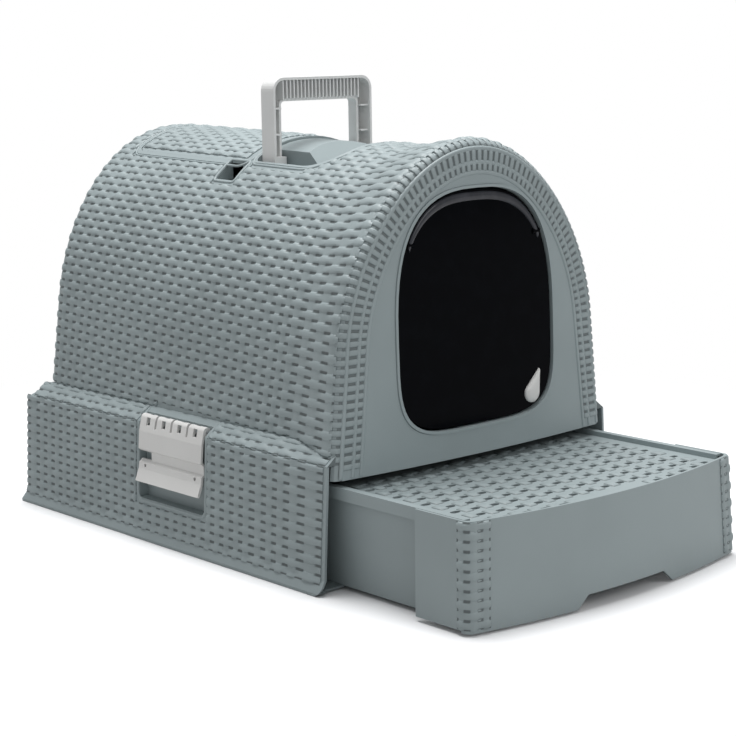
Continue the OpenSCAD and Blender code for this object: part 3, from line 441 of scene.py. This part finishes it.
def base_wicker():
    """The base's two sides, its rear, and the slopes over them: near the front the stakes are as far
    apart as on the object, and behind that they are even."""
    near = np.array([22, 45, 63, 78, 93.5, 112, 125.5, 140.0])
    stakes = -np.concatenate([spread(472.0, 154.4, 14.6), near[::-1]])
    side = wicker(base_side, stakes, BASE_STRANDS, -486.0, -4.5, 9.7, BASE_Z - 0.1, off_pocket)
    top = wicker(shoulder_side, stakes[1:], SLOPE_STRANDS, -474.0, -3.0, 0.4, SLOPE - 0.6,
                 off_pocket, parity=1)
    columns = spread(-168.0, 168.0, COLUMN)
    rear = wicker(base_rear, columns, BASE_STRANDS, -183.0, 183.0, 9.7, BASE_Z - 0.3)
    ledge = wicker(shoulder_rear, columns[1:-1], SLOPE_STRANDS, -168.0, 168.0, 0.4, SLOPE - 0.6,
                   parity=1)
    return both(side), rear, joined(both(top), ledge)


def rear_wicker():
    """The hood's flat rear: even upright stakes, and level strands up to the arch."""
    columns = spread(-144.0, 144.0, COLUMN)
    strands = np.arange(134.0, 380.0, PITCH)
    return wicker(hood_rear, columns, strands, -156.0, 156.0, 129.5, 381.0, off_rear)


def lid_skin(u, v):
    """The storage lid's top, which stands 0.2 mm over the roof."""
    p = hood_skin(u, v)
    return p + normals(hood_skin, u, v) * 0.2


def lid_wicker():
    """The storage lid's wicker, which ends short of the lid's edge."""
    stakes = BACK_Y - BACK_R - np.linspace(263.0, 97.0, 12)
    strands = (np.arange(-9, 9) + 0.5) * 7.85
    edge = lambda p: soft_box(p[..., 0], p[..., 1], *LID) > -3.0
    return wicker(lid_skin, stakes, strands, stakes[0] - 9, stakes[-1] + 9, -71.5, 71.5, edge)


# ---- the drawer's woven corners ----
def drawer_corner(u, v):
    """Left front corner of the drawer: u runs forwards along the side, round the corner and along
    the bowed front, v is the height; the foot stands further out than the top."""
    corner_r = 8.0
    out = 4.0 * (95.0 - v) / 93.0
    half, line = DRAWER_HW + out, DRAWER_Y - out
    quarter = corner_r * math.pi / 2
    a = np.clip(u / corner_r, 0, math.pi / 2)
    tx = half - corner_r
    bow = lambda x: DRAWER_BOW * (1 - (x / half) ** 2)
    corner_y = line + bow(tx) + corner_r
    x = np.where(u < quarter, tx + corner_r * np.cos(a), tx - (u - quarter))
    y = np.where(u < quarter, corner_y - corner_r * np.sin(a), line + bow(x))
    y = np.where(u < 0, corner_y - u, y)
    return np.stack(np.broadcast_arrays(-x, y, v), -1)


def corner_wicker():
    """Both woven corners of the drawer: three stakes, from the side round to the front."""
    stakes, strands = np.array([-2.0, 10.0, 22.0]), 4.6 + 8.2 * (np.arange(11) + 0.5)
    return both(wicker(drawer_corner, stakes, strands, -6.5, 26.0, 4.6, 94.2, flat=0.9))


# ---- the step sieve ----
def sieve_skin(u, v):
    """The sieve's level top."""
    return np.stack(np.broadcast_arrays(u, v, 90.5 + 0.0 * u), -1)


def sieve_pads():
    """Soft pads between the sieve's holes: they sit half a pitch beside the holes of each row, so
    with the staggered rows they make a basket pattern. The rows flatten from the bow backwards."""
    pitch, depth, rows = 20.5, 17.0, 9
    row, col = np.meshgrid(np.arange(rows + 1), np.arange(-8, 9), indexing="ij")
    x = (pitch * (col + np.where(row % 2 == 0, 0.5, 0.0))).ravel()
    row = row.ravel()
    bow = DRAWER_BOW * (1 - (x / DRAWER_HW) ** 2)
    y = 14 + depth * row + bow * (1 - row / rows)
    bare = (np.abs(x) < 46) & (y < 10)
    keep = (np.abs(x) < 153) & ~bare & (y > bow + 12)
    t = np.array([-1, -0.85, -0.5, 0.0, 0.5, 0.85, 1])
    run, cut = (t, 0.35 * np.cos(math.pi / 2 * t)), (t, 0.95 * (1 - np.abs(t) ** 2.2) ** 0.6)
    return cushions(sieve_skin, x[keep], y[keep] + DRAWER_Y, 5.1, 7.0, run, cut)


# ---- beads ----
BEAD = np.array([[-1, -0.5], [-0.86, 0.35], [-0.45, 0.85], [0.45, 0.85], [0.86, 0.35], [1, -0.5]])


def tube(rings, closed=False):
    """Skin over rings of points, each a loop: quads between neighbours, and a face at each end
    unless the last ring joins the first."""
    n, k = rings.shape[:2]
    i = np.arange(n * k).reshape(n, k)
    ends = [] if closed else [i[0][None, ::-1], i[-1][None]]
    if closed:
        i = np.concatenate([i, i[:1]])
    ring = np.concatenate([i, i[:, :1]], 1)
    quads = np.stack([ring[:-1, :-1], ring[:-1, 1:], ring[1:, 1:], ring[1:, :-1]], -1)
    return rings.reshape(-1, 3), [quads.reshape(-1, 4)] + ends, np.ones(n * k)


def bead(path, up, width, height, closed):
    """A half-round strip along a path: its section is set square to the path and to up."""
    ahead = np.roll(path, -1, 0) - np.roll(path, 1, 0)
    if not closed:
        ahead[0], ahead[-1] = path[1] - path[0], path[-1] - path[-2]
    ahead /= np.linalg.norm(ahead, axis=1, keepdims=True)
    across = np.cross(ahead, up)
    across /= np.linalg.norm(across, axis=1, keepdims=True)
    sideways = across[:, None] * (BEAD[:, 0] * width / 2)[None, :, None]
    upwards = up[:, None] * (BEAD[:, 1] * height)[None, :, None]
    return tube(path[:, None] + sideways + upwards, closed)


def smooth_outline(half, y0, y1, front_r, rear_r, grow):
    """Closed plan of a rectangle with two corner radii, grown outwards."""
    def arc(cx, cy, r, a0, a1):
        a = np.radians(np.linspace(a0, a1, 12))
        return np.stack([cx + (r + grow) * np.cos(a), cy + (r + grow) * np.sin(a)], 1)
    corners = np.concatenate([arc(half - front_r, y0 + front_r, front_r, -90, 0),
                              arc(half - rear_r, y1 - rear_r, rear_r, 0, 90),
                              arc(rear_r - half, y1 - rear_r, rear_r, 90, 180),
                              arc(front_r - half, y0 + front_r, front_r, 180, 270)])
    closed = np.concatenate([corners, corners[:1]])
    along = np.concatenate([[0], np.cumsum(np.linalg.norm(np.diff(closed, axis=0), axis=1))])
    s = np.linspace(0, along[-1], int(along[-1] / 2.5), endpoint=False)
    return np.stack([np.interp(s, along, closed[:, k]) for k in (0, 1)], 1)


def roof_bead(outline, shift, width, height):
    """A closed bead on the roof over an outline of its plan."""
    u, v = roof_spot(outline[:, 0] + shift, outline[:, 1])
    return bead(hood_skin(u, v), normals(hood_skin, u, v), width, height, True)


def roof_beads():
    """Beads round the handle's recess, the storage lid and the finger notch."""
    recess = roof_bead(smooth_outline(*BED, 3.6), 0.0, 3.4, 1.2)
    lid = roof_bead(smooth_outline(*LID, 5.4), 0.0, 2.4, 1.1)
    notch = roof_bead(smooth_outline(*NOTCH, 1.7), NOTCH_X, 3.2, 1.2)
    return joined(recess, lid, notch)


def pocket_bead():
    """The smooth outline of a clip's pocket: down one side, round two corners and up the other."""
    y0, y1, z0 = POCKET[0] - 2.2, POCKET[1] + 2.2, POCKET[2] - 2.2
    r, top, straight = 8, 126.5, 12         # corner radius, upper end, and start of the straight parts
    a = np.radians(np.linspace(180, 270, 9))
    turn = np.stack([y0 + r + r * np.cos(a), z0 + r + r * np.sin(a)], 1)
    back = np.stack([y0 + y1 - turn[::-1, 0], turn[::-1, 1]], 1)
    low = np.linspace(top, z0 + straight, 24)
    level = np.linspace(y0 + straight, y1 - straight, 24)
    way = np.concatenate([np.stack([y0 + 0 * low, low], 1), turn, np.stack([level, z0 + 0 * level], 1),
                          back, np.stack([y1 + 0 * low, low[::-1]], 1)])
    y, z = way[:, 0], way[:, 1]
    slope = (z - SLOPE_Z) * SLOPE_IN / SLOPE_UP - SLOPE_X
    x = np.where(z < SLOPE_Z, base_in(z) - BASE_HW, slope)
    tilt = np.clip((z - 113) / 4, 0, 1)
    up = np.stack([-1 + 0.4 * tilt, 0 * z, 0.05 + 0.7 * tilt], 1)
    up /= np.linalg.norm(up, axis=1, keepdims=True)
    return both(bead(np.stack([x, y, z], 1), up, 3.6, 0.9, False))


# ---- the door ----
def face_frame(x, y, z):
    """A point of the front's leaning frame, whose origin is the middle of its lower edge."""
    c, s = math.cos(FACE_LEAN), math.sin(FACE_LEAN)
    return np.stack(np.broadcast_arrays(x, FACE_MID_Y + y * c + z * s, FACE_Z + z * c - y * s), -1)


def door_highlight_band():
    """The raised band along the door's top, a painted highlight in lighter grey than the door: between
    the door's upper edge and a flatter arc, its thickness a low dome across its width."""
    a = np.radians(np.linspace(34, 146, 90))
    half, foot, rise, power = 96.6, 114, 127.2, 2 / 2.8
    top_x = half * np.sign(np.cos(a)) * np.abs(np.cos(a)) ** power
    top_z = foot + rise * np.sin(a) ** power
    drop = 5.5 * np.clip(1 - (np.abs(top_x) / half) ** 6, 0, 1) + 2.5
    lines = []
    for share, out in [(1, 0.1), (0.96, -0.9), (0.7, -1.5), (0.3, -1.5), (0.04, -0.9), (0, 0.1)]:
        lines.append(face_frame(top_x * (1 - 0.02 * share), 4.2 + out, top_z - drop * share))
    return tube(np.stack(lines, 1))


def pull_tab():
    """The teardrop pull tab: its outline shrinks towards the middle while it rises as a dome."""
    mid_x, mid_z, r = 71, 46, 9.5
    a = np.radians(np.linspace(155, 355, 40))
    round_end = np.stack([mid_x + r * np.cos(a), mid_z + r * np.sin(a)], 1)
    tip = np.array([82.0, 69.0])
    sides = [round_end[-1] + (tip - round_end[-1]) * t for t in np.linspace(0, 0.94, 14)[1:]]
    sides += [tip + (round_end[0] - tip) * t for t in np.linspace(0.04, 1, 18)[:-1]]
    outline = np.concatenate([round_end, sides])
    middle = np.array([72.6, 49.0])
    rings = []
    for share, out in [(1, 4.2), (1, 3.0), (0.93, 2.0), (0.75, 1.1), (0.5, 0.5), (0.2, 0.25)]:
        flat = middle + (outline - middle) * share
        rings.append(face_frame(flat[:, 0], out, flat[:, 1]))
    return tube(np.stack(rings))


# ---- finishes ----
class Value:
    """What changes over a surface. Arithmetic on it adds Math nodes to its material."""

    def __init__(self, finish, socket):
        self.finish, self.socket = finish, socket

    def _math(self, operation, a, b):
        return self.finish.node("ShaderNodeMath", {"operation": operation}, {0: a, 1: b})

    def __add__(self, other):
        return self._math("ADD", self, other)

    def __sub__(self, other):
        return self._math("SUBTRACT", self, other)

    def __rsub__(self, other):
        return self._math("SUBTRACT", other, self)

    def __mul__(self, other):
        return self._math("MULTIPLY", self, other)

    __radd__, __rmul__ = __add__, __mul__


class Finish:
    """One material's nodes."""

    def __init__(self, name):
        self.material = bpy.data.materials.new(name)
        self.material.use_nodes = True
        self.tree = self.material.node_tree
        self.tree.nodes.clear()

    def node(self, kind, settings=None, sockets=None, out=0):
        made = self.tree.nodes.new(kind)
        for key, value in (settings or {}).items():
            setattr(made, key, value)
        for key, value in (sockets or {}).items():
            if isinstance(value, Value):
                self.tree.links.new(value.socket, made.inputs[key])
            else:
                made.inputs[key].default_value = value
        return Value(self, made.outputs[out]) if len(made.outputs) else made

    def place(self):
        return self.node("ShaderNodeTexCoord", out="Object")

    def axes(self, place):
        made = self.tree.nodes.new("ShaderNodeSeparateXYZ")
        self.tree.links.new(place.socket, made.inputs[0])
        return [Value(self, s) for s in made.outputs]

    def noise(self, place, scale, detail, rough):
        return self.node("ShaderNodeTexNoise", None,
                         {"Vector": place, "Scale": scale, "Detail": detail, "Roughness": rough}, "Fac")

    def step(self, value, low, high):
        return self.node("ShaderNodeMapRange", {"interpolation_type": "SMOOTHSTEP"},
                         {"Value": value, "From Min": low, "From Max": high})

    def mix(self, share, a, b):
        return self.node("ShaderNodeMix", {"data_type": "RGBA"}, {0: share, 6: a, 7: b}, 2)

    def bump(self, height, strength, distance):
        return self.node("ShaderNodeBump", None,
                         {"Strength": strength, "Distance": distance, "Height": height})

    def drifting(self, place, scale, colour, low, high):
        """A colour that drifts slowly between low and high times itself."""
        drift = self.noise(place, scale, 3.0, 0.55)
        return self.mix(self.step(drift, 0.3, 0.7), tone(*colour, k=low), tone(*colour, k=high))

    def surface(self, **sockets):
        shader = self.tree.nodes.new("ShaderNodeBsdfPrincipled")
        for key, value in sockets.items():
            socket = shader.inputs[key.replace("_", " ")]
            if isinstance(value, Value):
                self.tree.links.new(value.socket, socket)
            else:
                socket.default_value = value
        out = self.tree.nodes.new("ShaderNodeOutputMaterial")
        self.tree.links.new(shader.outputs[0], out.inputs["Surface"])
        return self.material


def tone(r, g, b, k=1.0):
    """A colour given as it is seen on a screen, from 0 to 255, as the linear one of the shader."""
    lin = [((c / 255 + 0.055) / 1.055) ** 2.4 if c > 10 else c / 255 / 12.92 for c in (r, g, b)]
    return (lin[0] * k, lin[1] * k, lin[2] * k, 1.0)


SAGE, PALE, HANDLE_PALE = (150, 161, 163), (222, 221, 219), (230, 230, 229)


def moulded(name, colour, rough=0.46):
    """Moulded plastic: a fine spark-eroded grain, slow drifts of colour and gloss, and faint wear."""
    f = Finish(name)
    place = f.place()
    grit = f.noise(place, 2600.0, 1.0, 0.5)
    drifted = f.drifting(place, 9.0, colour, 0.955, 1.035)
    grained = f.mix(f.step(grit, 0.35, 0.75) * 0.5, drifted, tone(*colour, k=0.93))
    gloss = rough + (f.noise(place, 26.0, 3.0, 0.6) - 0.5) * 0.12
    return f.surface(Base_Color=grained, Roughness=gloss, Normal=f.bump(grit, 0.12, 0.0002))


def woven(name, colour):
    """The wicker's plastic: as the moulded one, with painted shade: the colour falls to 0.4 of itself
    in the slots of the weave and on the low edges of pads, where the point attribute it reads falls to
    0."""
    f = Finish(name)
    place = f.place()
    painted_light_level = f.node("ShaderNodeAttribute", {"attribute_name": "painted_light_level"}, None, "Fac")
    drifted = f.drifting(place, 11.0, colour, 0.94, 1.04)
    # Painted shade: where the per-point attribute is low (slots, pad edges) the colour is mixed down to
    # 0.4 of itself.
    shade = f.mix(f.step(painted_light_level, 0.1, 0.8), tone(*colour, k=0.4), drifted)
    grit = f.noise(place, 2200.0, 1.0, 0.5)
    gloss = 0.5 + (f.noise(place, 40.0, 3.0, 0.6) - 0.5) * 0.14
    return f.surface(Base_Color=shade, Roughness=gloss, Normal=f.bump(grit, 0.12, 0.0002))


def rim_ground(name, colour):
    """The hood's plastic: plain, but with painted shade at half its colour on its front face, which
    shows in the rim's slots.
    """
    f = Finish(name)
    place = f.place()
    _, y, z = f.axes(place)
    _, ny, _ = f.axes(f.node("ShaderNodeNewGeometry", None, None, "Normal"))
    # Painted shade: the forward-facing front face, in front of y = -0.145 m and above z = 0.115 m, is
    # mixed to half the colour so the gaps between the rim's bars look dark.
    front = f.step(ny * -1.0, 0.6, 0.9) * f.step(y * -1.0, 0.145, 0.15) * f.step(z, 0.1145, 0.1155)
    drifted = f.drifting(place, 9.0, colour, 0.955, 1.035)
    grit = f.noise(place, 2600.0, 1.0, 0.5)
    return f.surface(Base_Color=f.mix(front, drifted, tone(*colour, k=0.5)), Roughness=0.5,
                     Normal=f.bump(grit, 0.1, 0.0002))


def smoked(name, colour, shine):
    """Smoked sheet: near black and glossy, with a faint haze of fine scratches and dust."""
    f = Finish(name)
    place = f.place()
    haze = f.noise(place, 60.0, 4.0, 0.6)
    colour = f.mix(f.step(haze, 0.4, 0.8), tone(*colour), tone(*colour, k=1.5))
    gloss = 0.10 + f.step(haze, 0.45, 0.8) * 0.06
    return f.surface(Base_Color=colour, Roughness=gloss, Specular_IOR_Level=shine)


def drawn_steel(name):
    """Drawn wire: long fine scratches along the wire in the gloss."""
    f = Finish(name)
    place = f.place()
    streak = f.noise(place, 900.0, 2.0, 0.6)
    colour = f.mix(streak, tone(176, 178, 180), tone(205, 206, 208))
    return f.surface(Base_Color=colour, Metallic=1.0, Roughness=0.24 + streak * 0.14)


def fleece(name):
    """Needled carbon fleece: matted dark fibres, seen as a rough bump and mottled black."""
    f = Finish(name)
    place = f.place()
    fibre = f.noise(place, 700.0, 4.0, 0.75)
    colour = f.mix(fibre, tone(18, 18, 20), tone(58, 58, 62))
    return f.surface(Base_Color=colour, Roughness=0.92, Normal=f.bump(fibre, 0.7, 0.0012))


sage = moulded("sage_moulded", SAGE)
sage_wicker = woven("sage_wicker", SAGE)
hood_plastic = rim_ground("hood_painted_shade_behind_rim", SAGE)
pale = moulded("pale_grey_moulded", PALE, 0.42)
handle_pale = moulded("handle_pale_moulded", HANDLE_PALE, 0.42)
smoke = smoked("smoked_sheet", (7, 8, 11), 0.02)
# Painted highlight: this grey, far lighter than the door's near black, stands for the light that the
# door's rounded top edge reflects.
band = smoked("smoked_painted_highlight", (52, 53, 58), 0.3)
steel = drawn_steel("drawn_steel")
carbon = fleece("carbon_fleece")

OWN_FINISH = {"hood_shell": hood_plastic, "swing_door": smoke, "carry_handle": handle_pale,
              "carbon_filter": carbon}
for name, node in frame["nodes"].items():
    kind = next(s["material_slot"] for s in frame["record"]["subparts"] if s["node"] == name)
    finish = OWN_FINISH.get(name) or {"light_grey_plastic": pale, "steel": steel}.get(kind, sage)
    node.data.materials.clear()
    node.data.materials.append(finish)

# ---- the wicker and the beads ----
base_part, base_rear_part, shoulder_part = base_wicker()
for name, body, part in [
        ("hood_wicker_left_top", "housing", hood_wicker(-1, 0, 22)),
        ("hood_wicker_left_low", "housing", hood_wicker(-1, 22, 45)),
        ("hood_wicker_right_top", "housing", hood_wicker(1, 0, 22)),
        ("hood_wicker_right_low", "housing", hood_wicker(1, 22, 45)),
        ("base_rear_wicker", "housing", base_rear_part), ("rim_wicker", "housing", rim_wicker()),
        ("sieve_pads", "drawer", sieve_pads()), ("base_wicker", "housing", base_part),
        ("shoulder_wicker", "housing", shoulder_part), ("rear_wicker", "housing", rear_wicker()),
        ("lid_wicker", "lid", lid_wicker()), ("drawer_corner_wicker", "drawer", corner_wicker())]:
    piece(name, part[0], part[1], body, sage_wicker, painted_light_level=part[2])
for name, part in [("roof_beads", roof_beads()), ("pocket_beads", pocket_bead())]:
    piece(name, part[0], part[1], "housing", sage)
piece("door_highlight_band", *door_highlight_band()[:2], "door", band, "smoke_panel")
tab = piece("pull_tab_dome", *pull_tab()[:2], "door", pale, "light_grey_plastic")
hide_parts("door_pull_tab")


# ---- floor, light and camera ----
def floor():
    """A pale round floor that turns into plain white with distance. In metres."""
    mid_y, level, sectors = 0.1, -0.0004, 64
    r = np.array([0.6, 1.2, 2.5, 6.0])[:, None]
    a = np.linspace(0, 2 * math.pi, sectors, endpoint=False)[None]
    ring = np.stack([r * np.cos(a), mid_y + r * np.sin(a), 0 * r * a + level], -1).reshape(-1, 3)
    points = np.concatenate([[[0, mid_y, level]], ring])
    i = 1 + np.arange(len(r) * sectors).reshape(len(r), sectors)
    i = np.concatenate([i, i[:, :1]], 1)
    quads = np.stack([i[:-1, :-1], i[1:, :-1], i[1:, 1:], i[:-1, 1:]], -1).reshape(-1, 4)
    fan = np.stack([0 * i[0, :-1], i[0, :-1], i[0, 1:]], -1)
    mesh = bpy.data.meshes.new("floor")
    mesh.from_pydata(points.tolist(), [], quads.tolist() + fan.tolist())
    thing = bpy.data.objects.new("floor", mesh)
    bpy.context.scene.collection.objects.link(thing)
    f = Finish("floor_paper")
    x, y, _ = f.axes(f.place())
    far = f.node("ShaderNodeMath", {"operation": "SQRT"}, {0: x * x + (y - mid_y) * (y - mid_y)})
    lit = f.tree.nodes.new("ShaderNodeBsdfDiffuse")
    seen = f.node("ShaderNodeLightPath", None, None, "Is Camera Ray")
    paper = f.mix(seen, (0.5, 0.5, 0.5, 1), (0.93, 0.93, 0.94, 1))
    f.tree.links.new(paper.socket, lit.inputs["Color"])
    glow = f.tree.nodes.new("ShaderNodeEmission")
    glow.inputs["Color"].default_value = (1, 1, 1, 1)
    glow.inputs["Strength"].default_value = 1.0
    shine = f.node("ShaderNodeLightPath", None, None, "Is Glossy Ray")
    clear = f.node("ShaderNodeLightPath", None, None, "Is Transmission Ray")
    share = f.step(far, 0.40, 0.85) * (seen + shine + clear)
    mixed = f.tree.nodes.new("ShaderNodeMixShader")
    f.tree.links.new(share.socket, mixed.inputs[0])
    f.tree.links.new(lit.outputs[0], mixed.inputs[1])
    f.tree.links.new(glow.outputs[0], mixed.inputs[2])
    out = f.tree.nodes.new("ShaderNodeOutputMaterial")
    f.tree.links.new(mixed.outputs[0], out.inputs["Surface"])
    mesh.materials.append(f.material)


def lamp(name, place, aim, size, watts):
    """A round soft lamp at a place, turned so that it shines at its aim."""
    light = bpy.data.lights.new(name, "AREA")
    light.shape, light.size, light.energy = "DISK", size, watts
    thing = bpy.data.objects.new(name, light)
    back = np.array(place, float) - np.array(aim, float)
    back /= np.linalg.norm(back)
    right = np.cross([0, 0, 1.0], back) if abs(back[2]) < 0.99 else np.array([1.0, 0, 0])
    right /= np.linalg.norm(right)
    up = np.cross(back, right)
    turn = np.eye(4)
    turn[:3, 0], turn[:3, 1], turn[:3, 2], turn[:3, 3] = right, up, back, place
    thing.matrix_world = Matrix(turn.tolist())
    bpy.context.scene.collection.objects.link(thing)


def studio():
    """Even pale light from all round, white where the camera looks past the object, and two lamps."""
    all_round, behind = 0.455, 1.0
    world = bpy.data.worlds.new("studio")
    bpy.context.scene.world = world
    world.use_nodes = True
    tree = world.node_tree
    tree.nodes.clear()
    path = tree.nodes.new("ShaderNodeLightPath")
    plain, white = (tree.nodes.new("ShaderNodeBackground") for _ in range(2))
    mixed = tree.nodes.new("ShaderNodeMixShader")
    plain.inputs["Color"].default_value = (0.97, 0.99, 1.0, 1)
    plain.inputs["Strength"].default_value = all_round
    white.inputs["Color"].default_value = (1, 1, 1, 1)
    white.inputs["Strength"].default_value = behind
    tree.links.new(path.outputs["Is Camera Ray"], mixed.inputs[0])
    tree.links.new(plain.outputs[0], mixed.inputs[1])
    tree.links.new(white.outputs[0], mixed.inputs[2])
    out = tree.nodes.new("ShaderNodeOutputWorld")
    tree.links.new(mixed.outputs[0], out.inputs[0])
    lamp("overhead", (0.1, 0.25, 2.6), (0.0, 0.1, 0.2), 1.6, 73.0)
    lamp("front_fill", (0.6, -2.4, 1.5), (0.0, 0.0, 0.2), 1.4, 12.0)


def camera():
    """The photograph's viewpoint, from a camera fitted to its edges."""
    around, above, roll = math.radians(-41.82), math.radians(10.2), math.radians(-0.88)
    place = [-1.18257, -1.32579, 0.4798]
    level = math.cos(above)
    back = np.array([math.sin(around) * level, -math.cos(around) * level, math.sin(above)])
    right = np.array([math.cos(around), math.sin(around), 0.0])
    up = np.cross(back, right)
    turn = np.eye(4)
    turn[:3, 0] = math.cos(roll) * right + math.sin(roll) * up
    turn[:3, 1] = math.cos(roll) * up - math.sin(roll) * right
    turn[:3, 2], turn[:3, 3] = back, place
    lens = bpy.data.cameras.new("photo_view")
    lens.lens, lens.sensor_width = 89.44, 36.0
    thing = bpy.data.objects.new("photo_view", lens)
    thing.matrix_world = Matrix(turn.tolist())
    bpy.context.scene.collection.objects.link(thing)
    bpy.context.scene.camera = thing


floor()
studio()
camera()
bpy.context.scene.view_settings.view_transform = "Standard"
